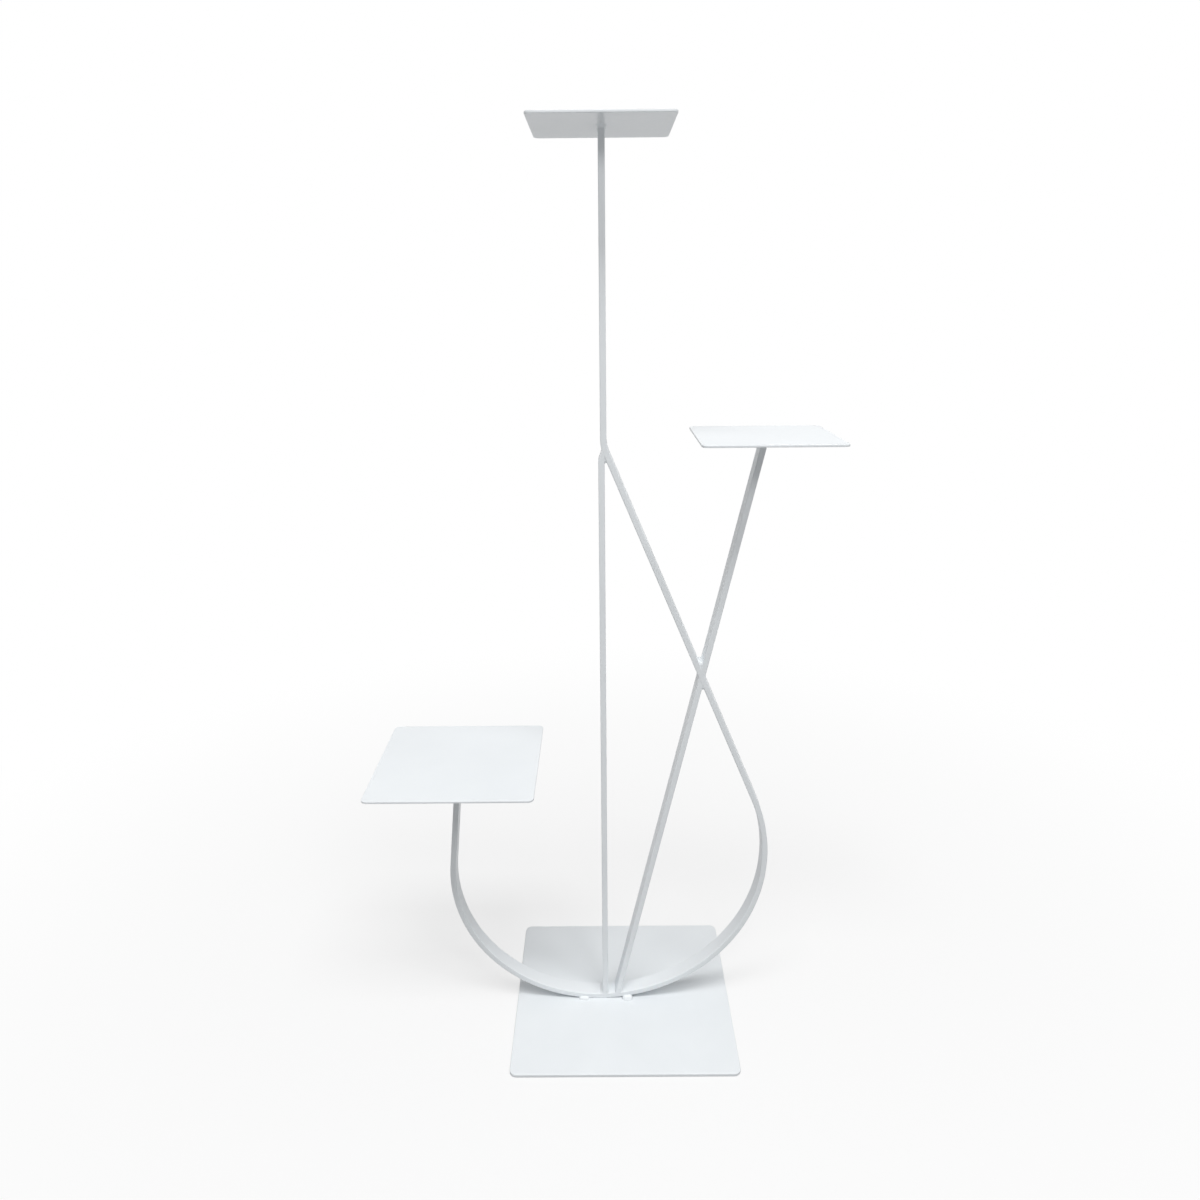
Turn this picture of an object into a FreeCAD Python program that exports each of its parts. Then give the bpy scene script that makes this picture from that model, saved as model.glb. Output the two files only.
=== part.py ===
import FreeCAD, Part
import math
import os
import re
import Sketcher

# A welded flower stand: a square base plate, flat bars that rise from it, and three square shelves.
# Millimetres and degrees. X runs to the right, Y to the back, Z up.
# The origin is the middle of the base's underside.

doc = FreeCAD.newDocument("tiered_stand")
dims = doc.addObject("Spreadsheet::Sheet", "dims")

driving = [
    ("base_side", 320),         # square base plate
    ("base_thick", 5),
    ("base_corner", 10),
    ("low_side", 225),          # square shelves
    ("middle_side", 175),
    ("top_side", 165),
    ("shelf_thick", 3),
    ("shelf_corner", 8),
    ("plate_edge", 0.6),        # broken edge along the rim of every plate
    ("low_height", 403),        # upper face of each shelf above the floor
    ("middle_height", 856),
    ("top_height", 1211),
    ("bar_thick", 8),           # flat bar, standing with its width front to back
    ("bar_width", 25),
    ("bar_edge", 0.8),          # broken edge along the bar's length
    ("root_x", -37),            # where both arms lie on the base and meet end to end
    ("low_bend", 210),          # radius of the low arm's sweep, on the bar's middle line
    ("low_lean", 5.6),          # how far that sweep goes past upright
    ("bow_bend", 242),          # radius of the top arm's bow
    ("bow_lean", 22.8),         # how far the bow goes past upright, and the slope of its diagonal
    ("mast_x", -24),            # upright end of the top arm
    ("mast_bend", 50),          # radius of the bend from diagonal to mast
    ("post_shift", 2.5),        # the post stands this far to the left of the mast
    ("post_shoulder", 18),      # drop of the ground shoulder at the post's upper end
    ("strut_foot_x", -10),      # strut's middle line at the level of the base's upper face
    ("middle_x", 179),          # strut's middle line under the middle shelf
    ("tack_length", 16),        # short welds beside the arms' feet
    ("low_tack_size", 4.5),     # how high each tack stands on the base
    ("top_tack_size", 6.5),
    ("tack_tip", 1.5),          # height of a tack's blunt ends
    ("tack_taper", 4.5),        # length over which each end rises to the full size
    ("low_tack_reach", 22),     # distance of each tack's middle from the root
    ("top_tack_reach", 44),
    ("foot_seam", 4),           # sizes of the seams at the feet, in the forks and in the wide corners
    ("fork_seam", 7),
    ("corner_seam", 3.5),
    ("seam_inset", 1.5),        # a seam stops this far short of the bar's edges
    ("seam_end", 1.2),          # bevel at the ends of a seam
    ("collar_leg", 4.5),        # weld collar round a bar's end under its shelf
    ("collar_slope", 40),
    ("collar_corner", 3),
]

# Places that follow from the sizes above. A half is measured level, from a bar's middle line to its face.
derived = [
    ("half_thick", "bar_thick / 2"),
    ("half_width", "bar_width / 2"),
    ("root_top", "base_thick + bar_thick"),
    ("foot_level", "base_thick + half_thick"),
    ("low_under", "low_height - shelf_thick"),
    ("middle_under", "middle_height - shelf_thick"),
    ("top_under", "top_height - shelf_thick"),
    ("low_outer", "low_bend + half_thick"),
    ("low_inner", "low_bend - half_thick"),
    ("low_centre_z", "foot_level + low_bend"),
    ("low_half", "half_thick / cos(low_lean)"),
    ("low_x", "root_x - low_bend / cos(low_lean) + tan(low_lean) * (low_under - low_centre_z)"),
    ("bow_outer", "bow_bend + half_thick"),
    ("bow_inner", "bow_bend - half_thick"),
    ("bow_centre_z", "foot_level + bow_bend"),
    ("arm_half", "half_thick / cos(bow_lean)"),
    ("turn_z", "bow_centre_z + (root_x + bow_bend / cos(bow_lean) - mast_x) / tan(bow_lean)"),
    ("mast_inner", "mast_bend - half_thick"),
    ("mast_outer", "mast_bend + half_thick"),
    ("mast_centre_x", "mast_x + mast_bend"),
    ("mast_start_z", "turn_z + mast_bend * tan(bow_lean / 2)"),
    ("post_left", "mast_x - post_shift - half_thick"),
    ("post_right", "mast_x - post_shift + half_thick"),
    ("fork_z", "turn_z - (post_right - mast_x + arm_half) / tan(bow_lean)"),
    ("strut_slope", "(middle_x - strut_foot_x) / (middle_under - base_thick)"),
    ("strut_run", "sqrt(1 + strut_slope * strut_slope)"),
    ("strut_half", "half_thick * strut_run"),
    # Heel: where the strut's right face meets the upper face of the bow, a line through a circle
    ("heel_reach", "strut_foot_x + strut_half - root_x"),
    ("heel_drop", "bow_bend + half_thick - strut_slope * heel_reach"),
    ("heel_square", "pow(strut_run; 2) * (pow(heel_reach; 2) + 2 * bow_bend * bar_thick)"),
    ("heel_rise", "(heel_drop - sqrt(pow(heel_drop; 2) - heel_square)) / pow(strut_run; 2)"),
    ("heel_x", "strut_foot_x + strut_half + strut_slope * heel_rise"),
    ("heel_z", "base_thick + heel_rise"),
    ("closing", "strut_slope + tan(bow_lean)"),
    ("crossing_z", "base_thick + (mast_x - strut_foot_x + (turn_z - base_thick) * tan(bow_lean)) / closing"),
    ("cut_left_z", "crossing_z + strut_half / closing"),
    ("cut_left_x", "strut_foot_x - strut_half + strut_slope * (cut_left_z - base_thick)"),
    ("cut_right_z", "crossing_z - strut_half / closing"),
    ("cut_right_x", "strut_foot_x + strut_half + strut_slope * (cut_right_z - base_thick)"),
]

cells = [(name, str(number)) for name, number in driving]
cells += [(name, "=" + formula) for name, formula in derived]
for row, (name, content) in enumerate(cells, 1):
    dims.set("A%d" % row, name)
    dims.set("B%d" % row, content)
    dims.setAlias("B%d" % row, name)
doc.recompute()

names = [name for name, content in cells]
parts = []
same_place = 0.01               # points this close count as one place


def bound(expression):
    # The expression as other objects read it, with each of the sheet's names led back to the sheet
    return re.sub(r"\w+", lambda word: "dims." + word[0] if word[0] in names else word[0], expression)


def value(expression):
    return float(dims.evalExpression(bound(expression)))


def new_body(label):
    return doc.addObject("PartDesign::Body", label)


def new_sketch(body, role, at=("0", "0", "0")):
    # A sketch on one of the body's own planes, with its origin moved to the place given by three expressions
    sketch = body.newObject("Sketcher::SketchObject", body.Name + "_sketch")
    plane = next(feature for feature in body.Origin.OriginFeatures if feature.Role == role)
    sketch.AttachmentSupport = [(plane, "")]
    sketch.MapMode = "FlatFace"
    for axis, expression in zip("xyz", at):
        sketch.setExpression("AttachmentOffset.Base." + axis, bound(expression))
    return sketch


def bind(sketch, constraint, expression):
    index = sketch.addConstraint(constraint)
    sketch.setExpression("Constraints[%d]" % index, bound(expression))


def draw_outline(sketch, corners, arcs={}):
    # A closed outline through corners that are pairs of expressions. Edge i runs from corner i to the next.
    # arcs[i] = (radius, turn) makes it round: turn is 1 where the outline turns left on it, -1 where right.
    points = [FreeCAD.Vector(value(across), value(up)) for across, up in corners]
    starts = []
    ends = []
    for i, start in enumerate(points):
        end = points[(i + 1) % len(points)]
        radius, turn = arcs.get(i, (None, 1))
        starts.append((i, 1 if turn == 1 else 2))
        ends.append((i, 2 if turn == 1 else 1))
        if radius is None:
            sketch.addGeometry(Part.LineSegment(start, end))
            continue
        chord = end - start
        size = value(radius)
        inward = FreeCAD.Vector(-chord.y, chord.x).normalize() * turn
        centre = (start + end) * 0.5 + inward * math.sqrt(size ** 2 - chord.Length ** 2 / 4)
        first, last = (start, end) if turn == 1 else (end, start)
        circle = Part.Circle(centre, FreeCAD.Vector(0, 0, 1), size)
        sketch.addGeometry(Part.ArcOfCircle(circle, circle.parameter(first), circle.parameter(last)))
    for i, (across, up) in enumerate(corners):
        sketch.addConstraint(Sketcher.Constraint("Coincident", *ends[i - 1], *starts[i]))
        bind(sketch, Sketcher.Constraint("DistanceX", -1, 1, *starts[i], points[i].x), across)
        bind(sketch, Sketcher.Constraint("DistanceY", -1, 1, *starts[i], points[i].y), up)
        if i in arcs:
            radius = arcs[i][0]
            bind(sketch, Sketcher.Constraint("Radius", i, value(radius)), radius)
    doc.recompute()


def square_corners(centre_x, width, depth):
    left = "%s - (%s) / 2" % (centre_x, width)
    right = "%s + (%s) / 2" % (centre_x, width)
    front = "0 - (%s) / 2" % depth
    back = "(%s) / 2" % depth
    return [(left, front), (right, front), (right, back), (left, back)]


def new_pad(body, sketch, length):
    pad = body.newObject("PartDesign::Pad", body.Name + "_pad")
    pad.Profile = sketch
    pad.setExpression("Length", bound(length))
    return pad


def dress_edges(body, base, chosen, kind, measure, size):
    # Rounds or bevels the base's edges for which chosen(edge) holds
    doc.recompute()
    edges = ["Edge%d" % number for number, edge in enumerate(base.Shape.Edges, 1) if chosen(edge)]
    dressed = body.newObject("PartDesign::" + kind, "%s_%s" % (body.Name, kind.lower()))
    dressed.Base = (base, edges)
    dressed.setExpression(measure, bound(size))
    doc.recompute()
    return dressed


def round_edges(body, base, chosen, radius):
    return dress_edges(body, base, chosen, "Fillet", "Radius", radius)


def bevel_edges(body, base, chosen, size):
    return dress_edges(body, base, chosen, "Chamfer", "Size", size)


def edge_middle(edge):
    return edge.valueAt((edge.FirstParameter + edge.LastParameter) / 2)


def keep(sub_part):
    parts.append(sub_part)
    return sub_part


def trimmed(label, blank, *neighbours):
    # The blank cut to seat against each neighbour in turn
    for number, neighbour in enumerate(neighbours, 1):
        cut = doc.addObject("Part::Cut", "%s_cut_%d" % (blank.Name, number))
        cut.Base = blank
        cut.Tool = neighbour
        blank = cut
    doc.recompute()
    blank.Label = label
    return blank


def plate(label, centre_x, side, underside, thickness, corner):
    # Square sheet with rounded corners and a broken rim
    body = new_body(label)
    sketch = new_sketch(body, "XY_Plane", ("0", "0", underside))
    draw_outline(sketch, square_corners(centre_x, side, side))
    sheet = new_pad(body, sketch, thickness)
    cornered = round_edges(body, sheet, lambda edge: edge.BoundBox.ZLength > value(thickness) / 2, corner)
    bevel_edges(body, cornered, lambda edge: edge.BoundBox.ZLength < value(thickness) / 2, "plate_edge")
    keep(body)


def bar(label, corners, arcs={}, long_edges=()):
    # Flat bar from its side outline, as wide front to back as the stock, with its long edges broken
    body = new_body(label)
    sketch = new_sketch(body, "XZ_Plane")
    draw_outline(sketch, corners, arcs)
    pad = new_pad(body, sketch, "bar_width")
    pad.SideType = "Symmetric"
    if long_edges:
        outline = [edge_middle(sketch.Geometry[i].toShape()) for i in long_edges]
        places = [FreeCAD.Vector(p.x, side * value("half_width"), p.y) for p in outline for side in (-1, 1)]

        def is_long(edge):
            return any(edge_middle(edge).isEqual(place, same_place) for place in places)
        bevel_edges(body, pad, is_long, "bar_edge")
    return body


def round_point(centre_x, centre_z, radius, lean, across, up):
    # Corner on a bend: the bend's middle, moved by its radius towards a direction that leans off level
    return (
        "%s %s %s * cos(%s)" % (centre_x, across, radius, lean),
        "%s %s %s * sin(%s)" % (centre_z, up, radius, lean))


def seam(label, across, up, size, first_way, second_way, *neighbours):
    # Weld bead that runs front to back in the corner at (across, up): a round-faced wedge between two ways,
    # given as a length across and a length up, the second one anticlockwise from the first
    body = new_body(label + "_blank")
    sketch = new_sketch(body, "XZ_Plane")
    corners = [(across, up)]
    for way_across, way_up in (first_way, second_way):
        corners.append(("%s + %s * (%s)" % (across, size, way_across), "%s + %s * (%s)" % (up, size, way_up)))
    draw_outline(sketch, corners, {1: (size, 1)})
    pad = new_pad(body, sketch, "bar_width - 2 * seam_inset")
    pad.SideType = "Symmetric"
    bevel_edges(body, pad, lambda edge: edge.Curve.TypeId == "Part::GeomCircle", "seam_end")
    return keep(trimmed(label, body, *neighbours))


def tack(label, across, size, cope):
    # Short weld on the base behind an arm's foot: an outline with tapered, blunt ends, turned half round
    body = new_body(label + "_blank")
    sketch = new_sketch(body, "XY_Plane", (across, "half_width", "base_thick"))
    draw_outline(sketch, [
        ("tack_length / 2", "0"),
        ("tack_length / 2", "tack_tip"),
        ("tack_length / 2 - tack_taper", size),
        ("tack_taper - tack_length / 2", size),
        ("-tack_length / 2", "tack_tip"),
        ("-tack_length / 2", "0"),
    ])
    turned = body.newObject("PartDesign::Revolution", body.Name + "_turned")
    turned.Profile = sketch
    turned.ReferenceAxis = (sketch, ["H_Axis"])
    turned.Angle = 180
    doc.recompute()
    return keep(trimmed(label, body, cope))


def mirrored(label, source):
    # The same piece on the other side of the stand, front for back
    twin = doc.addObject("Part::Mirroring", label)
    twin.Source = source
    twin.Normal = FreeCAD.Vector(0, 1, 0)
    doc.recompute()
    return keep(twin)


def collar(label, centre_x, underside, arm):
    # Weld that runs all round a bar's end under its shelf, wide at the shelf and narrow on the bar
    body = new_body(label + "_blank")
    sketch = new_sketch(body, "XY_Plane", ("0", "0", underside))
    corners = square_corners(centre_x, "bar_thick + 2 * collar_leg", "bar_width + 2 * collar_leg")
    draw_outline(sketch, corners)
    skirt = new_pad(body, sketch, "collar_leg")
    skirt.Reversed = True
    skirt.setExpression("TaperAngle", bound("0 - collar_slope"))
    round_edges(body, skirt, lambda edge: edge.BoundBox.ZLength > value("collar_leg") / 2, "collar_corner")
    return keep(trimmed(label, body, arm))


# Plates
plate("base_plate", "0", "base_side", "0", "base_thick", "base_corner")
plate("low_shelf", "low_x", "low_side", "low_under", "shelf_thick", "shelf_corner")
plate("middle_shelf", "middle_x", "middle_side", "middle_under", "shelf_thick", "shelf_corner")
plate("top_shelf", "mast_x", "top_side", "top_under", "shelf_thick", "shelf_corner")

# Low arm: from the root along the base, round the sweep and up to the low shelf
low_corners = [
    ("root_x", "base_thick"),
    round_point("root_x", "low_centre_z", "low_outer", "low_lean", "-", "+"),
    ("low_x - low_half", "low_under"),
    ("low_x + low_half", "low_under"),
    round_point("root_x", "low_centre_z", "low_inner", "low_lean", "-", "+"),
    ("root_x", "root_top"),
]
low_arcs = {0: ("low_outer", -1), 4: ("low_inner", 1)}
low_arm = keep(bar("low_arm", low_corners, low_arcs, (0, 1, 3, 4)))

# Top arm: from the root round the bow, up the diagonal, through the bend and up the mast
top_corners = [
    ("root_x", "base_thick"),
    round_point("root_x", "bow_centre_z", "bow_outer", "bow_lean", "+", "+"),
    round_point("mast_centre_x", "mast_start_z", "mast_inner", "bow_lean", "-", "-"),
    ("mast_x + half_thick", "mast_start_z"),
    ("mast_x + half_thick", "top_under"),
    ("mast_x - half_thick", "top_under"),
    ("mast_x - half_thick", "mast_start_z"),
    round_point("mast_centre_x", "mast_start_z", "mast_outer", "bow_lean", "-", "-"),
    round_point("root_x", "bow_centre_z", "bow_inner", "bow_lean", "+", "+"),
    ("root_x", "root_top"),
]
top_arcs = {0: ("bow_outer", 1), 2: ("mast_inner", -1), 6: ("mast_outer", 1), 8: ("bow_inner", -1)}
top_arm = keep(bar("top_arm", top_corners, top_arcs, (0, 1, 2, 3, 5, 6, 7, 8)))

# Square-edged copies of both arms, which cut the ends of the bars that seat on them
low_cope = bar("low_arm_cope", low_corners, low_arcs)
top_cope = bar("top_arm_cope", top_corners, top_arcs)

# Post: stands on the arms' feet, and its ground upper end fits under the mast's bend
post_blank = bar("centre_post_blank", [
    ("post_left", "foot_level"),
    ("post_right", "foot_level"),
    ("post_right", "turn_z - (post_right - mast_x) / tan(bow_lean)"),
    ("mast_x", "turn_z"),
    ("post_left", "turn_z - post_shoulder"),
], long_edges=(1, 4))
centre_post = keep(trimmed("centre_post", post_blank, top_cope, low_cope))

# Strut: one leaning line in two lengths, mitred to the top arm from below and from above
lower_blank = bar("strut_lower_blank", [
    ("strut_foot_x - strut_half + strut_slope * half_thick", "foot_level"),
    ("strut_foot_x + strut_half + strut_slope * half_thick", "foot_level"),
    ("cut_right_x", "cut_right_z"),
    ("cut_left_x", "cut_left_z"),
], long_edges=(1, 3))
strut_lower = keep(trimmed("strut_lower", lower_blank, top_cope))
upper_blank = bar("strut_upper_blank", [
    ("cut_left_x", "cut_left_z"),
    ("cut_right_x", "cut_right_z"),
    ("middle_x + strut_half", "middle_under"),
    ("middle_x - strut_half", "middle_under"),
], long_edges=(1, 3))
strut_upper = keep(trimmed("strut_upper", upper_blank, top_cope))

# Tacks on the base, in front of and behind each arm's foot
for name, across, size, cope in (
        ("low_arm_tack", "root_x - low_tack_reach", "low_tack_size", low_cope),
        ("top_arm_tack", "root_x + top_tack_reach", "top_tack_size", top_cope)):
    mirrored(name + "_front", tack(name + "_back", across, size, cope))

# Ways along the faces that the seams join
up = ("0", "1")
down = ("0", "-1")
left = ("-1", "0")
right = ("1", "0")
strut_up = ("strut_slope / strut_run", "1 / strut_run")
strut_down = ("-strut_slope / strut_run", "-1 / strut_run")
arm_up = ("-sin(bow_lean)", "cos(bow_lean)")
arm_down = ("sin(bow_lean)", "-cos(bow_lean)")

# Seams at the feet and in the fork under the mast
seam("post_foot_weld", "post_left", "root_top", "foot_seam", up, left, centre_post, top_arm, low_arm)
seam("strut_foot_weld", "heel_x", "heel_z", "foot_seam", right, strut_up, strut_lower, top_arm)
seam("post_head_weld", "post_right", "fork_z", "fork_seam", down, arm_down, centre_post, top_arm)

# Seams in the four corners of the crossing, each between one face of the strut and one of the top arm
for place, strut, strut_side, arm_side, size, first_way, second_way in (
        ("top", strut_upper, "-", "+", "fork_seam", strut_up, arm_up),
        ("right", strut_upper, "+", "+", "corner_seam", arm_down, strut_up),
        ("bottom", strut_lower, "+", "-", "fork_seam", strut_down, arm_down),
        ("left", strut_lower, "-", "-", "corner_seam", arm_up, strut_down)):
    rise = "crossing_z - base_thick + (0 %s arm_half - (0 %s strut_half)) / closing" % (arm_side, strut_side)
    across = "strut_foot_x %s strut_half + strut_slope * (%s)" % (strut_side, rise)
    level = "base_thick + " + rise
    seam("crossing_weld_" + place, across, level, size, first_way, second_way, strut, top_arm)

# Collars under the shelves
collar("low_shelf_weld", "low_x", "low_under", low_arm)
collar("middle_shelf_weld", "middle_x", "middle_under", strut_upper)
collar("top_shelf_weld", "mast_x", "top_under", top_arm)

doc.recompute()
for item in doc.Objects:
    if "Invalid" in item.State or "Error" in item.State:
        raise RuntimeError("%s failed to build: %s" % (item.Label, item.State))
for part in parts:
    if part.Shape.isNull() or not part.Shape.isValid() or len(part.Shape.Solids) != 1:
        raise RuntimeError("%s isn't one sound solid" % part.Label)

os.makedirs("parts", exist_ok=True)
for part in parts:
    part.Shape.exportStep("parts/%s.step" % part.Label)
print("%d parts written" % len(parts))
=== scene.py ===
import math
import bpy
import numpy as np
from mathutils import Matrix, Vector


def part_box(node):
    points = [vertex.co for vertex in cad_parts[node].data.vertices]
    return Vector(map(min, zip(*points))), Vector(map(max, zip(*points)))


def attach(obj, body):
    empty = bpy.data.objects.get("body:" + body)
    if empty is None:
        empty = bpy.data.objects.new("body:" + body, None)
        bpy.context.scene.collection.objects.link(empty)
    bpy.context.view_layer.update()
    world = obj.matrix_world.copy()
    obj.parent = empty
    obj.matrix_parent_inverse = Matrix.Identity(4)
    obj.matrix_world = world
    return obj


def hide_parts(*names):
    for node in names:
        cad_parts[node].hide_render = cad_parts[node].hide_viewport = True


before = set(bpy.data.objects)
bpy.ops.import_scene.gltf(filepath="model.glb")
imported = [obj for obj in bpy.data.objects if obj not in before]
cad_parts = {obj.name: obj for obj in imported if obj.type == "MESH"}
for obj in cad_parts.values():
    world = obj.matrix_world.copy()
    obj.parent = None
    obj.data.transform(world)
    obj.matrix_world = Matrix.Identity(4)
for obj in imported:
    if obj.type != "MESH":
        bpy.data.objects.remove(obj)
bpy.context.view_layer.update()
print("frame loaded:", len(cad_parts), "nodes")

# Sizes are in metres, and angles in degrees. Places come from the boxes of the frame's nodes,
# and only what a box can't tell is written in the dictionaries.

# Enamel

enamel = {
    "colour": (0.826, 0.857, 0.878, 1),      # cool white
    "shade": (0.792, 0.824, 0.846, 1),       # the same coat where it lies thinner
    "drift": 9,                              # slow patches of shade, per metre
    "driftDetail": 4,
    "driftRange": (0.35, 0.70),              # part of the noise over which the shade comes in
    "driftShare": (0, 0.8),                  # share of the shade at both ends of that part
    "roughness": (0.29, 0.40),
    "gloss": 160,                            # fine patches of gloss, per metre
    "glossDetail": 3,
    "glossGrain": 0.6,
    "glossRange": (0.3, 0.7),                # part of the noise that spans the roughness
    "bend": 1.42,                            # index of refraction of the clear binder
    "peel": 220,                             # orange peel, per metre
    "peelDetail": 2,
    "peelDepth": 0.00006,
    "wave": 16,                              # slow unevenness of the metal, per metre
    "waveDetail": 1,
    "waveStrength": 0.6,
}

# The coat on each kind of piece, and the angle past which the piece's edges stay crisp
kinds = {
    "sheet": {"coat": "sheetEnamel", "waveDepth": 0.0006, "peelStrength": 0.35, "crisp": 40},
    "bar": {"coat": "barEnamel", "waveDepth": 0.0002, "peelStrength": 0.25, "crisp": 40},
    "bead": {"coat": "weldEnamel", "waveDepth": 0.0004, "peelStrength": 0.70, "crisp": 60},
}


def newPaint(name):
    material = bpy.data.materials.new(name)
    material.use_nodes = True
    return material, material.node_tree


def link(tree, outNode, outName, inNode, inName):
    tree.links.new(outNode.outputs[outName], inNode.inputs[inName])


def noiseNode(tree, coordinates, scale, detail, grain=0.5):
    node = tree.nodes.new("ShaderNodeTexNoise")
    node.inputs["Scale"].default_value = scale
    node.inputs["Detail"].default_value = detail
    node.inputs["Roughness"].default_value = grain
    link(tree, coordinates, "Object", node, "Vector")
    return node


def rangeNode(tree, source, output, fromRange, toRange):
    node = tree.nodes.new("ShaderNodeMapRange")
    node.inputs["From Min"].default_value, node.inputs["From Max"].default_value = fromRange
    node.inputs["To Min"].default_value, node.inputs["To Max"].default_value = toRange
    link(tree, source, output, node, "Value")
    return node


def bumpNode(tree, noise, strength, depth):
    node = tree.nodes.new("ShaderNodeBump")
    node.inputs["Strength"].default_value = strength
    node.inputs["Distance"].default_value = depth
    link(tree, noise, "Fac", node, "Height")
    return node


def enamelMaterial(coat, waveDepth, peelStrength):
    # Gloss enamel: shade and gloss come and go in patches, orange peel and the metal's slow waves are bump
    material, tree = newPaint(coat)
    shader = tree.nodes["Principled BSDF"]
    shader.inputs["IOR"].default_value = enamel["bend"]
    coordinates = tree.nodes.new("ShaderNodeTexCoord")
    drift = noiseNode(tree, coordinates, enamel["drift"], enamel["driftDetail"])
    share = rangeNode(tree, drift, "Fac", enamel["driftRange"], enamel["driftShare"])
    mix = tree.nodes.new("ShaderNodeMix")
    mix.data_type = "RGBA"
    mix.inputs["A"].default_value = enamel["colour"]
    mix.inputs["B"].default_value = enamel["shade"]
    link(tree, share, "Result", mix, "Factor")
    link(tree, mix, "Result", shader, "Base Color")
    fine = noiseNode(tree, coordinates, enamel["gloss"], enamel["glossDetail"], enamel["glossGrain"])
    gloss = rangeNode(tree, fine, "Fac", enamel["glossRange"], enamel["roughness"])
    link(tree, gloss, "Result", shader, "Roughness")
    peel = noiseNode(tree, coordinates, enamel["peel"], enamel["peelDetail"])
    wave = noiseNode(tree, coordinates, enamel["wave"], enamel["waveDetail"])
    bumpFine = bumpNode(tree, peel, peelStrength, enamel["peelDepth"])
    bumpSlow = bumpNode(tree, wave, enamel["waveStrength"], waveDepth)
    link(tree, bumpFine, "Normal", bumpSlow, "Normal")
    link(tree, bumpSlow, "Normal", shader, "Normal")
    return material


paints = {}
for kind, look in kinds.items():
    paints[kind] = enamelMaterial(look["coat"], look["waveDepth"], look["peelStrength"])
print("enamel ready")


# Meshes

def boxOf(node):
    low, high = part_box(node)
    return np.array(low), np.array(high)


def newObject(name, data):
    made = bpy.data.objects.new(name, data)
    bpy.context.scene.collection.objects.link(made)
    return made


def signedVolume(spots, quads):
    # Volume between the quads and the piece's middle, two pyramids to a quad: below zero, they face inwards
    a, b, c, d = np.moveaxis(spots[quads] - spots.mean(0), 1, 0)
    return float(np.einsum("ij,ij->", a, np.cross(b - d, c))) / 6


def gridPiece(node, kind, points, closeRows=False, cap=None):
    # Rows of points joined into quads, each row a closed loop. Rows close on each other, or end in caps:
    # the faces over one row, given by the places of their points in it, or one flat face.
    rows, cols = points.shape[:2]
    index = np.arange(rows * cols).reshape(rows, cols)
    lower = index if closeRows else index[:-1]
    upper = np.roll(index, -1, 0) if closeRows else index[1:]
    quads = np.stack([lower, np.roll(lower, -1, 1), np.roll(upper, -1, 1), upper], -1).reshape(-1, 4)
    faces = quads.tolist()
    if not closeRows:
        ends = cap or [list(range(cols))]
        faces += [index[0][face[::-1]].tolist() for face in ends]
        faces += [index[-1][face].tolist() for face in ends]
    spots = points.reshape(-1, 3)
    name = node.replace("_", ".") + "." + kind
    mesh = bpy.data.meshes.new(name)
    mesh.from_pydata(spots.tolist(), [], faces)
    mesh.validate()
    if signedVolume(spots, quads) < 0:
        mesh.flip_normals()
    mesh.polygons.foreach_set("use_smooth", np.ones(len(mesh.polygons), bool))
    mesh.set_sharp_from_angle(angle=math.radians(kinds[kind]["crisp"]))
    mesh.materials.append(paints[kind])
    piece = newObject(name, mesh)
    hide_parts(node)
    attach(piece, "root")


def roundedLoop(halfA, halfB, radius, cornerPoints, sidePoints):
    # Loop round a rectangle: an arc at each corner, and points spread evenly along each straight side.
    # Gives each point's corner centre and way out: the loop at an inset is centre + (radius - inset) * way.
    signs = np.array([[1, 1], [-1, 1], [-1, -1], [1, -1]])
    corners = signs * (halfA - radius, halfB - radius)
    share = np.linspace(0, 1, sidePoints + 2)[1:-1, None]
    centres, ways = [], []
    for k in range(4):
        turn = np.linspace(k, k + 1, cornerPoints) * math.pi / 2
        arc = np.stack([np.cos(turn), np.sin(turn)], -1)
        centre, follow = corners[k], corners[(k + 1) % 4]
        centres += [np.repeat(centre[None], cornerPoints, 0), centre + share * (follow - centre)]
        ways += [arc, np.repeat(arc[-1:], sidePoints, 0)]
    return np.concatenate(centres), np.concatenate(ways)


# Plates

plates = {
    "base_plate": {"corner": 0.010, "rim": 0.0012, "pull": 0.0},
    "low_shelf": {"corner": 0.008, "rim": 0.0007, "pull": 0.00020},
    "middle_shelf": {"corner": 0.008, "rim": 0.0007, "pull": 0.00020},
    "top_shelf": {"corner": 0.008, "rim": 0.0007, "pull": 0.00020},
}
plateGrid = {
    "cornerPoints": 9,       # on each rounded corner
    "sidePoints": 24,        # between two corners
    "rimRings": 6,           # round each rim
    "faceRings": 27,         # over each face
    "innermost": 0.01,       # size of the innermost ring, as a share of the plate's
    "pullReach": 0.030,      # distance from the middle at which about a third of the pull is left
}


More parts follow.
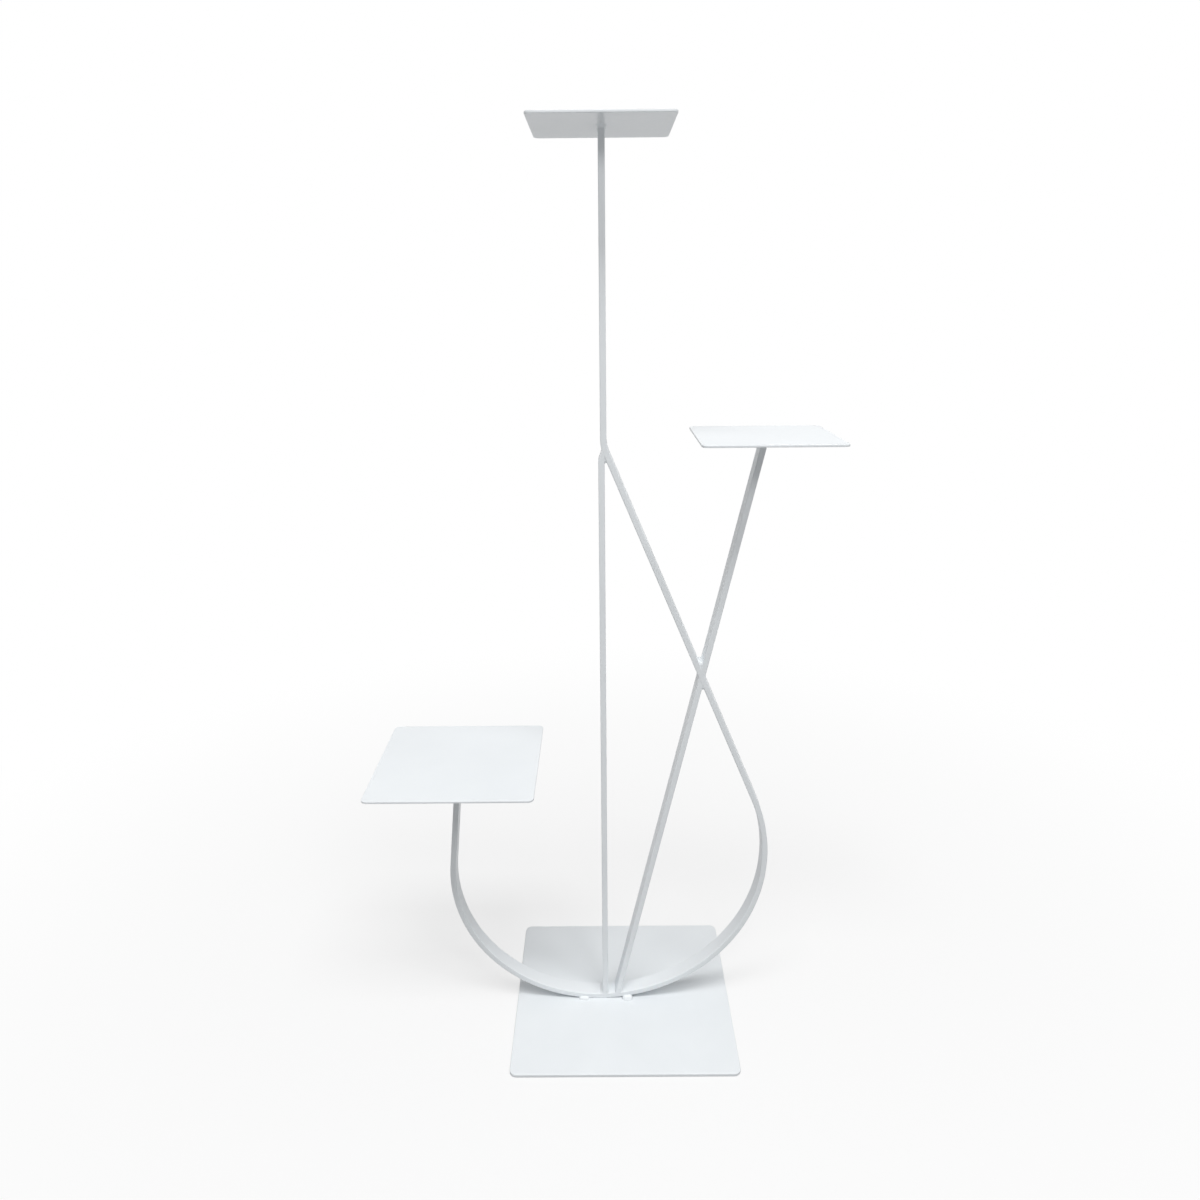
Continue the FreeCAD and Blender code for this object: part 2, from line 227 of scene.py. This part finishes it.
def plate(node, corner, rim, pull):
    # Rings of one rounded square: they grow over the upper face, follow a quarter circle at each rim,
    # and shrink over the lower face. Heat from the weld pulls the middle down by a bell of the given depth.
    low, high = boxOf(node)
    half = (high - low)[:2] / 2
    centres, ways = roundedLoop(half[0], half[1], corner, plateGrid["cornerPoints"], plateGrid["sidePoints"])
    turn = np.linspace(0, math.pi / 2, plateGrid["rimRings"])
    grow = np.linspace(plateGrid["innermost"], 1, plateGrid["faceRings"] + 1)[:-1]
    face = np.ones(plateGrid["faceRings"])
    inset = rim * np.concatenate([face, 1 - np.sin(turn), 1 - np.cos(turn), face])
    scale = np.concatenate([grow, np.ones(2 * len(turn)), grow[::-1]])
    upper = [high[2] * face, high[2] - rim * (1 - np.cos(turn))]
    lower = [low[2] + rim * (1 - np.sin(turn)), low[2] * face]
    rise = np.concatenate(upper + lower)
    flat = scale[:, None, None] * (centres[None] + (corner - inset)[:, None, None] * ways[None])
    away = np.linalg.norm(flat, axis=-1)
    points = np.zeros(flat.shape[:2] + (3,))
    points[..., :2] = flat + (low + high)[:2] / 2
    points[..., 2] = rise[:, None] - pull * np.exp(-(away / plateGrid["pullReach"]) ** 2)
    gridPiece(node, "sheet", points)


for node, settings in plates.items():
    plate(node, **settings)
print("plates ready:", len(plates))

# Bars

bars = {
    "lowLean": 5.6,          # how far the low arm's sweep goes past upright
    "bowLean": 22.8,         # how far the bow goes past upright, and the slope of the diagonal
    "mastBend": 0.050,       # radius of the bend from diagonal to mast
    "strutFootX": -0.010,    # strut's middle line at the base's upper face
    "postShoulder": 0.018,   # drop of the ground shoulder at the post's head
    "edge": 0.0012,          # rounding of the flat bar's long edges under the paint
    "sink": 0.0004,          # how deep a seated end runs into what carries it
    "headSink": 0.0030,      # the same at the post's ground head
    "slim": 0.00007,         # straight bars lie this far inside the arms' front and back faces
    "edgePoints": 7,         # on each rounded edge of the section
    "sidePoints": 5,         # between two edges
    "straightRings": 24,     # along a straight bar
    "sweepRings": 90,        # along the low arm's sweep
    "bowRings": 110,         # along the bow
    "bendRings": 24,         # along the bend from diagonal to mast
}

postLow, postHigh = boxOf("centre_post")
armLow, armHigh = boxOf("top_arm")
shelves = [boxOf(name) for name in ("low_shelf", "middle_shelf", "top_shelf")]
lowX, middleX, mastX = [(low[0] + high[0]) / 2 for low, high in shelves]
lowUnder, middleUnder, topUnder = [low[2] for low, high in shelves]
baseTop = boxOf("base_plate")[1][2]
halfThick, halfWidth = (postHigh - postLow)[:2] / 2             # half of the flat bar's section
postX = (postHigh[0] + postLow[0]) / 2
rootX = armLow[0]                                               # both arms start here
bowBend = armHigh[0] - rootX - halfThick                        # radius of the bow's middle line
lowBend = rootX - boxOf("low_arm")[0][0] - halfThick            # the same of the low arm's sweep
bowLean = math.radians(bars["bowLean"])
lowLean = math.radians(bars["lowLean"])
bowCentre = np.array([rootX, 0, baseTop + halfThick + bowBend])
lowCentre = np.array([rootX, 0, baseTop + halfThick + lowBend])
turnZ = bowCentre[2] + (rootX + bowBend / math.cos(bowLean) - mastX) / math.tan(bowLean)
mastStartZ = turnZ + bars["mastBend"] * math.tan(bowLean / 2)
upWay = np.array([0.0, 0.0, 1.0])
rightWay = np.array([1.0, 0.0, 0.0])
lowWay = np.array([math.sin(lowLean), 0, math.cos(lowLean)])    # up along the low arm's straight end
armWay = np.array([-math.sin(bowLean), 0, math.cos(bowLean)])   # up along the diagonal
armOut = np.array([math.cos(bowLean), 0, math.sin(bowLean)])    # out of the diagonal's right face
armPoint = np.array([mastX, 0, turnZ])                          # where the diagonal's line meets the mast's
strutSlope = (middleX - bars["strutFootX"]) / (middleUnder - baseTop)
strutRun = math.hypot(1, strutSlope)
strutWay = np.array([strutSlope, 0, 1]) / strutRun              # up along the strut
strutSide = np.array([1, 0, -strutSlope]) / strutRun            # out of the strut's right face
strutPoint = np.array([bars["strutFootX"], 0, baseTop])


def barSection():
    # Flat bar's section: across its thickness, and along its width
    centres, ways = roundedLoop(halfThick, halfWidth, bars["edge"], bars["edgePoints"], bars["sidePoints"])
    return centres + bars["edge"] * ways


def endStrips():
    # Faces over a bar's end: strips from its back edge to its front edge, so that an end cut by two planes
    # is flat on each of them. The first and the last strip also take in the points along their own side.
    half = 2 * (bars["edgePoints"] + bars["sidePoints"])
    back = 2 * bars["edgePoints"] + bars["sidePoints"]
    strips = [[i, i + 1, half + back - 2 - i, half + back - 1 - i] for i in range(back - 1)]
    strips[0] += range(half + back, 2 * half)
    strips[-1] = list(range(back - 2, half + 2))
    return strips


section = barSection()
barCap = endStrips()


def arcPath(centre, radius, angles):
    # Points at a radius round a centre in the XZ plane, at angles from level, and their ways from the centre
    ways = np.stack([np.cos(angles), np.zeros_like(angles), np.sin(angles)], -1)
    return centre + radius * ways, ways


def bentBar(node, path, normals, lastWay, lastZ):
    # Section carried along a path in the XZ plane, its thickness along the normals and its width along Y.
    # The last row is slid along the path's last way until it lies on the level of lastZ.
    points = path[:, None, :] + section[:, 0][None, :, None] * normals[:, None, :]
    points[:, :, 1] += section[:, 1]
    slide = (lastZ - points[-1, :, 2]) / lastWay[2]
    points[-1] += slide[:, None] * lastWay
    gridPiece(node, "bar", points, cap=barCap)


def planeReach(start, way, plane):
    # How far each starting point runs along the way to a plane, which is a normal and a point on it
    normal, spot = plane
    return ((spot - start) @ normal) / (way @ normal)


def straightBar(node, point, way, side, startPlane, endPlanes):
    # Each point of the section runs straight along the way, from the start plane to the nearest end plane
    start = point + section[:, 0][:, None] * side
    start[:, 1] += section[:, 1] - bars["slim"] * np.sign(section[:, 1])
    first = planeReach(start, way, startPlane)
    last = np.min([planeReach(start, way, plane) for plane in endPlanes], axis=0)
    share = np.linspace(0, 1, bars["straightRings"])[:, None]
    lengths = first + share * (last - first)
    points = start[None] + lengths[:, :, None] * way
    gridPiece(node, "bar", points, cap=barCap)


def onBow(start, way):
    # Where a straight line first meets the bow's upper face, a circle round the bow's centre,
    # and the way out of that face there
    face = bowBend - halfThick
    away = start - bowCentre
    toward = away @ way
    point = start + way * (-toward - math.sqrt(toward ** 2 - away @ away + face ** 2))
    return point, (bowCentre - point) / face


# Low arm: quarter sweep to the left from the root, then straight up to the low shelf
angles = -math.pi / 2 - np.linspace(0, math.pi / 2 + lowLean, bars["sweepRings"])
sweep, sweepOut = arcPath(lowCentre, lowBend, angles)
lowTop = sweep[-1] + lowWay * (lowUnder - sweep[-1, 2]) / lowWay[2]
lowPath = np.vstack([sweep, lowTop])
lowNormals = -np.vstack([sweepOut, sweepOut[-1:]])
bentBar("low_arm", lowPath, lowNormals, lowWay, lowUnder)

# Top arm: bow to the right, straight diagonal, small bend at the fork, mast
angles = np.linspace(-math.pi / 2, bowLean, bars["bowRings"])
bow, bowOut = arcPath(bowCentre, bowBend, angles)
angles = math.pi + np.linspace(bowLean, 0, bars["bendRings"])
bendCentre = np.array([mastX + bars["mastBend"], 0, mastStartZ])
bend, bendOut = arcPath(bendCentre, bars["mastBend"], angles)
mastTop = np.array([mastX, 0, topUnder])
topPath = np.vstack([bow, bend, mastTop])
topNormals = np.vstack([-bowOut, bendOut, bendOut[-1:]])
bentBar("top_arm", topPath, topNormals, upWay, topUnder)

# Post: stands on the root, its head ground to a shoulder and fitted under the diagonal
postFoot, postFootUp = onBow(np.array([postX, 0, baseTop]), upWay)
footPlane = (postFootUp, postFoot - bars["sink"] * postFootUp)
headPlane = (armOut, armPoint - armOut * (halfThick - bars["headSink"]))
shoulderPlane = (np.array([-bars["postShoulder"], 0, mastX - (postX - halfThick)]), armPoint)
straightBar("centre_post", postFoot, upWay, rightWay, footPlane, [headPlane, shoulderPlane])

# Strut: two lengths on one leaning line, mitred to the diagonal from below and from above
strutFoot, strutFootUp = onBow(strutPoint, strutWay)
footPlane = (strutFootUp, strutFoot - bars["sink"] * strutFootUp)
lowerPlane = (armOut, armPoint - armOut * (halfThick - bars["sink"]))
upperPlane = (armOut, armPoint + armOut * (halfThick - bars["sink"]))
shelfPlane = (upWay, np.array([0, 0, middleUnder]))
straightBar("strut_lower", strutPoint, strutWay, strutSide, footPlane, [lowerPlane])
straightBar("strut_upper", strutPoint, strutWay, strutSide, upperPlane, [shelfPlane])
print("bars ready")

# Welds

ripple = {
    "pitch": 0.0024,         # spacing of the ripples that the welder's hand leaves
    "depth": 0.022,          # as a share of the bead's size
}


def ripples(along, lag):
    # Soft crests that follow each other along the bead, and lag behind in crescents towards its sides
    return ripple["depth"] * (0.5 + 0.5 * np.cos(2 * math.pi * (along / ripple["pitch"] - lag)))


seamBead = {
    "fork": 0.0078,          # sizes, from the corner to a toe
    "above": 0.0095,         # in the crossing's upper, lower and side corners
    "below": 0.0058,
    "beside": 0.0034,
    "foot": 0.0039,
    "hollow": 0.10,          # how far the skin draws in between the toes
    "toe": 0.52,             # a toe's angle from the middle, over the corner's: past 0.5 is inside a face
    "bury": 0.0006,          # how deep the root lies in the corner
    "inset": 0.0006,         # a seam stops this far short of the bar's edges
    "endRound": 0.15,        # about this share of half a seam's length rounds off at each end
    "endLeft": 0.35,         # square of what is left of its size at the very end
    "lag": 1.6,              # how much its ripples bend back
    "skinPoints": 21,
    "rows": 96,
}


def seam(node, apex, firstWay, secondWay, size):
    # Bead along Y in the corner between two faces. Its skin is the straight line from toe to toe, in polar
    # form round the corner, drawn in by a cosine, with ripples. Its ends round off in part of a circle.
    first = math.atan2(firstWay[2], firstWay[0])
    sweep = (math.atan2(secondWay[2], secondWay[0]) - first) % (2 * math.pi)
    middle = first + sweep / 2
    around = np.linspace(-seamBead["toe"], seamBead["toe"], seamBead["skinPoints"])
    drawn = 1 - seamBead["hollow"] * np.cos(math.pi * around)
    skin = math.cos(sweep / 2) / np.cos(sweep * around) * drawn
    length = halfWidth - seamBead["inset"]
    deep = np.linspace(-length, length, seamBead["rows"])
    ends = (np.abs(deep) / length * (1 + seamBead["endRound"]) - 1).clip(0) / seamBead["endRound"]
    taper = np.sqrt(np.clip(1 - ends ** 2, seamBead["endLeft"], 1))
    lag = seamBead["lag"] * around ** 2
    radius = size * taper[:, None] * skin * (1 + ripples(deep[:, None], lag[None]))
    angle = middle + sweep * around
    points = np.zeros((len(deep), len(around) + 1, 3))
    points[:, 1:, 0] = apex[0] + radius * np.cos(angle)
    points[:, 1:, 2] = apex[2] + radius * np.sin(angle)
    points[:, 0, 0] = apex[0] - seamBead["bury"] * math.cos(middle)
    points[:, 0, 2] = apex[2] - seamBead["bury"] * math.sin(middle)
    points[:, :, 1] = deep[:, None]
    gridPiece(node, "bead", points)


def meeting(strutShift, armShift):
    # Where a line beside the strut meets a line beside the diagonal, each shifted out of its own right face
    start = strutPoint + strutShift * strutSide
    length = (armShift + (armPoint - start) @ armOut) / (strutWay @ armOut)
    return start + length * strutWay


def alongFace(up):
    # Way to the right along a face, from the way out of it
    return np.array([up[2], 0, -up[0]])


postRight = postX + halfThick
forkZ = turnZ - (postRight - mastX + halfThick / math.cos(bowLean)) / math.tan(bowLean)
postHeel, postHeelUp = onBow(np.array([postX - halfThick, 0, baseTop]), upWay)
strutHeel, strutHeelUp = onBow(strutPoint + halfThick * strutSide, strutWay)
seam("post_head_weld", (postRight, 0, forkZ), -upWay, -armWay, seamBead["fork"])
seam("post_foot_weld", postHeel, upWay, -alongFace(postHeelUp), seamBead["foot"])
seam("strut_foot_weld", strutHeel, alongFace(strutHeelUp), strutWay, seamBead["foot"])
seam("crossing_weld_top", meeting(-halfThick, halfThick), strutWay, armWay, seamBead["above"])
seam("crossing_weld_right", meeting(halfThick, halfThick), -armWay, strutWay, seamBead["beside"])
seam("crossing_weld_bottom", meeting(halfThick, -halfThick), -strutWay, -armWay, seamBead["below"])
seam("crossing_weld_left", meeting(-halfThick, -halfThick), armWay, -strutWay, seamBead["beside"])
print("seams ready")

collarBead = {
    "leg": 0.0044,           # from the bar out along the shelf, and from the shelf down along the bar
    "bury": 0.0003,          # how deep the inner face lies in the bar
    "heel": 0.9,             # lower edge of that face, as a share of the leg
    "seat": 0.0001,          # how far its upper edge reaches into the shelf
    "lag": 1.2,              # how much its ripples bend back
    "skinRings": 12,
    "edgePoints": 9,         # round each of the bar's edges
    "sidePoints": 22,        # between two edges
}


def collar(node, centreX, underside, way):
    # Ring round a bar's end under its shelf: a hollow quarter circle from the shelf down to the bar,
    # with ripples that swell most half-way, closed by a face inside the bar
    leg = collarBead["leg"]
    counts = (collarBead["edgePoints"], collarBead["sidePoints"])
    centres, ways = roundedLoop(halfThick / way[2], halfWidth, bars["edge"], *counts)
    loop = centres + bars["edge"] * ways
    step = np.linalg.norm(np.diff(loop, axis=0, append=loop[:1]), axis=1)
    around = np.append(0, np.cumsum(step)[:-1])
    turn = np.linspace(0, math.pi / 2, collarBead["skinRings"])
    out = np.append(leg * (1 - np.sin(turn)), [-collarBead["bury"], -collarBead["bury"]])
    drop = np.append(leg * (1 - np.cos(turn)), [leg * collarBead["heel"], -collarBead["seat"]])
    swell = np.append(np.sin(2 * turn), [0, 0])
    lag = collarBead["lag"] * np.linspace(-0.5, 0.5, len(out)) ** 2
    grow = out[:, None] + leg * swell[:, None] * ripples(around[None], lag[:, None])
    flat = loop[None] + grow[..., None] * ways[None]
    points = np.zeros(flat.shape[:2] + (3,))
    points[..., 0] = centreX + flat[..., 0] - drop[:, None] * way[0] / way[2]
    points[..., 1] = flat[..., 1]
    points[..., 2] = underside - drop[:, None]
    gridPiece(node, "bead", points, closeRows=True)


collar("low_shelf_weld", lowX, lowUnder, lowWay)
collar("middle_shelf_weld", middleX, middleUnder, strutWay)
collar("top_shelf_weld", mastX, topUnder, upWay)
print("collars ready")

tackBead = {
    "round": 1.35,           # 1 is a round tack, 2 a flat one, more a hollow one
    "blunt": 3.8,            # 2 is an oval from above, more is blunter at its ends
    "tip": 0.01,             # square of what is left of its size at the very end
    "between": 0.96,         # its size between two ripples, as a share of its box
    "deep": 0.0030,          # how far its back lies inside the arm's side
    "sink": 0.0001,          # how deep it lies in the base
    "lag": 1.4,              # how much its ripples bend back
    "skinPoints": 21,
    "rows": 72,
}


def tack(node):
    # Fillet between the base and an arm's side. Across it is a quarter of a superellipse from toe to crown,
    # closed inside the arm. Along, its size follows half a blunt oval, with the welder's ripples.
    low, high = boxOf(node)
    side = math.copysign(1, low[1] + high[1])
    reach = max(abs(low[1]), abs(high[1])) - halfWidth
    crown = high[2] - baseTop
    turn = np.linspace(0, math.pi / 2, tackBead["skinPoints"])
    out = np.append(reach * np.cos(turn) ** tackBead["round"], [-tackBead["deep"], -tackBead["deep"]])
    rise = np.append(crown * np.sin(turn) ** tackBead["round"], [crown, 0])
    along = np.linspace(-1, 1, tackBead["rows"])
    run = along * (high[0] - low[0]) / 2
    oval = np.sqrt(np.clip(1 - np.abs(along) ** tackBead["blunt"], tackBead["tip"], 1))
    lag = tackBead["lag"] * np.linspace(-0.5, 0.5, len(out)) ** 2
    size = oval[:, None] * (tackBead["between"] + ripples(run[:, None], lag[None]))
    points = np.zeros((len(along), len(out), 3))
    points[..., 0] = (low[0] + high[0]) / 2 + run[:, None]
    points[..., 1] = side * (halfWidth + out * size)
    points[..., 2] = baseTop - tackBead["sink"] + rise * size
    gridPiece(node, "bead", points)


for node in ("low_arm_tack_front", "low_arm_tack_back", "top_arm_tack_front", "top_arm_tack_back"):
    tack(node)
print("tacks ready")

# Floor, light and camera

studio = {
    "floorHalf": 30.0,
    "floorColour": (0.42, 0.86),       # grey of the paint for the light it throws back, and for the camera
    "floorWhite": (0.62, 1.0),         # share of plain white near the stand, and far away
    "fade": (0.35, 1.6),               # distances between which it turns plain white
    "skyBand": (-0.1, 0.9),            # heights between which the sky brightens: 0 is level, 1 straight up
    "skyStrength": (0.02, 0.54),       # its light below that band, and above
}

# Two plain lamps: a ceiling light, far enough to reach every shelf alike, and a soft box over the camera
lamps = {
    "ceilingLight": {"energy": 2660, "size": (17.0, 5.0), "at": (1.0, -7.5, 20.0), "aim": (0, 0, 0)},
    "frontLight": {"energy": 8.5, "size": (0.7, 0.5), "at": (0.3, -1.45, 1.9), "aim": (0, 0, 0.7)},
}


def mathNode(tree, operation, first, firstName, second, secondName):
    node = tree.nodes.new("ShaderNodeMath")
    node.operation = operation
    link(tree, first, firstName, node, 0)
    link(tree, second, secondName, node, 1)
    return node


def seenRay(tree):
    # 1 for what the camera sees, straight or in a reflection, and 0 for light that falls on things
    path = tree.nodes.new("ShaderNodeLightPath")
    either = mathNode(tree, "MAXIMUM", path, "Is Camera Ray", path, "Is Glossy Ray")
    return mathNode(tree, "MAXIMUM", either, "Value", path, "Is Transmission Ray")


def stageFloor():
    # Flat square under the stand: pale and shadowed near it, plain white to the camera far away
    half = studio["floorHalf"]
    corners = [(-half, -half, 0), (half, -half, 0), (half, half, 0), (-half, half, 0)]
    mesh = bpy.data.meshes.new("floor")
    mesh.from_pydata(corners, [], [(0, 1, 2, 3)])
    floor = newObject("floor", mesh)
    material, tree = newPaint("floorPaint")
    tree.nodes.remove(tree.nodes["Principled BSDF"])
    coordinates = tree.nodes.new("ShaderNodeTexCoord")
    length = tree.nodes.new("ShaderNodeVectorMath")
    length.operation = "LENGTH"
    link(tree, coordinates, "Object", length, 0)
    white = rangeNode(tree, length, "Value", studio["fade"], studio["floorWhite"])
    white.interpolation_type = "SMOOTHSTEP"
    seen = seenRay(tree)
    share = mathNode(tree, "MULTIPLY", white, "Result", seen, "Value")
    paint = tree.nodes.new("ShaderNodeBsdfDiffuse")
    grey = rangeNode(tree, seen, "Value", (0, 1), studio["floorColour"])
    link(tree, grey, "Result", paint, "Color")
    glow = tree.nodes.new("ShaderNodeEmission")
    mix = tree.nodes.new("ShaderNodeMixShader")
    link(tree, share, "Value", mix, "Fac")
    link(tree, paint, "BSDF", mix, 1)
    link(tree, glow, "Emission", mix, 2)
    link(tree, mix, "Shader", tree.nodes["Material Output"], "Surface")
    mesh.materials.append(material)


def skyLight():
    # Pale sky that lights from above more than from the sides, and is plain white to the camera
    world = bpy.data.worlds.new("studioSky")
    bpy.context.scene.world = world
    world.use_nodes = True
    tree = world.node_tree
    background = tree.nodes["Background"]
    background.inputs["Color"].default_value = (1, 1, 1, 1)
    coordinates = tree.nodes.new("ShaderNodeTexCoord")
    split = tree.nodes.new("ShaderNodeSeparateXYZ")
    link(tree, coordinates, "Generated", split, "Vector")
    strength = rangeNode(tree, split, "Z", studio["skyBand"], studio["skyStrength"])
    seen = seenRay(tree)
    mix = tree.nodes.new("ShaderNodeMix")
    link(tree, seen, "Value", mix, "Factor")
    link(tree, strength, "Result", mix, "A")
    mix.inputs["B"].default_value = 1.0
    link(tree, mix, "Result", background, "Strength")


def turnTo(holder, right, up, back, at):
    # Columns of the matrix are the holder's own ways to the right, up and back, and its place
    columns = np.stack([right, up, back, at], -1)
    holder.matrix_world = Matrix(np.vstack([columns, [0, 0, 0, 1]]).tolist())


def hangLamp(name, energy, size, at, aim):
    # Rectangle of light turned to face its aim, with its long side running from left to right
    lamp = bpy.data.lights.new(name, "AREA")
    lamp.shape = "RECTANGLE"
    lamp.energy = energy
    lamp.size, lamp.size_y = size
    back = np.array(at) - np.array(aim)
    back = back / np.linalg.norm(back)
    side = np.cross([0, 1, 0], back)
    side = side / np.linalg.norm(side)
    turnTo(newObject(name, lamp), side, np.cross(back, side), back, at)


view = {
    "imageSide": 1200,                 # pixels of the square frame
    "focal": 932.3,                    # pixels
    "sensor": 36.0,                    # millimetres
    "clip": (0.01, 100),               # nearest and farthest that the camera sees
    "at": (-0.0256, -1.1797, 1.0199),
    "pitch": 17.888,                   # down
    "yaw": -0.205,
    "roll": 0.491,
}


def placeCamera():
    # Camera's ways forward, right and down, turned by yaw and pitch, and then by roll about the way forward
    pitch, yaw, roll = (math.radians(view[key]) for key in ("pitch", "yaw", "roll"))
    forward = np.array([math.sin(yaw) * math.cos(pitch), math.cos(yaw) * math.cos(pitch), -math.sin(pitch)])
    right = np.array([math.cos(yaw), -math.sin(yaw), 0])
    down = np.cross(forward, right)
    turnedRight = math.cos(roll) * right + math.sin(roll) * down
    turnedDown = math.cos(roll) * down - math.sin(roll) * right
    lens = bpy.data.cameras.new("camera")
    lens.sensor_width = view["sensor"]
    lens.lens = view["focal"] * view["sensor"] / view["imageSide"]
    lens.clip_start, lens.clip_end = view["clip"]
    camera = newObject("camera", lens)
    turnTo(camera, turnedRight, -turnedDown, -forward, view["at"])
    bpy.context.scene.camera = camera


stageFloor()
skyLight()
for name, settings in lamps.items():
    hangLamp(name, **settings)
placeCamera()
bpy.context.scene.view_settings.view_transform = "Standard"
print("studio ready")
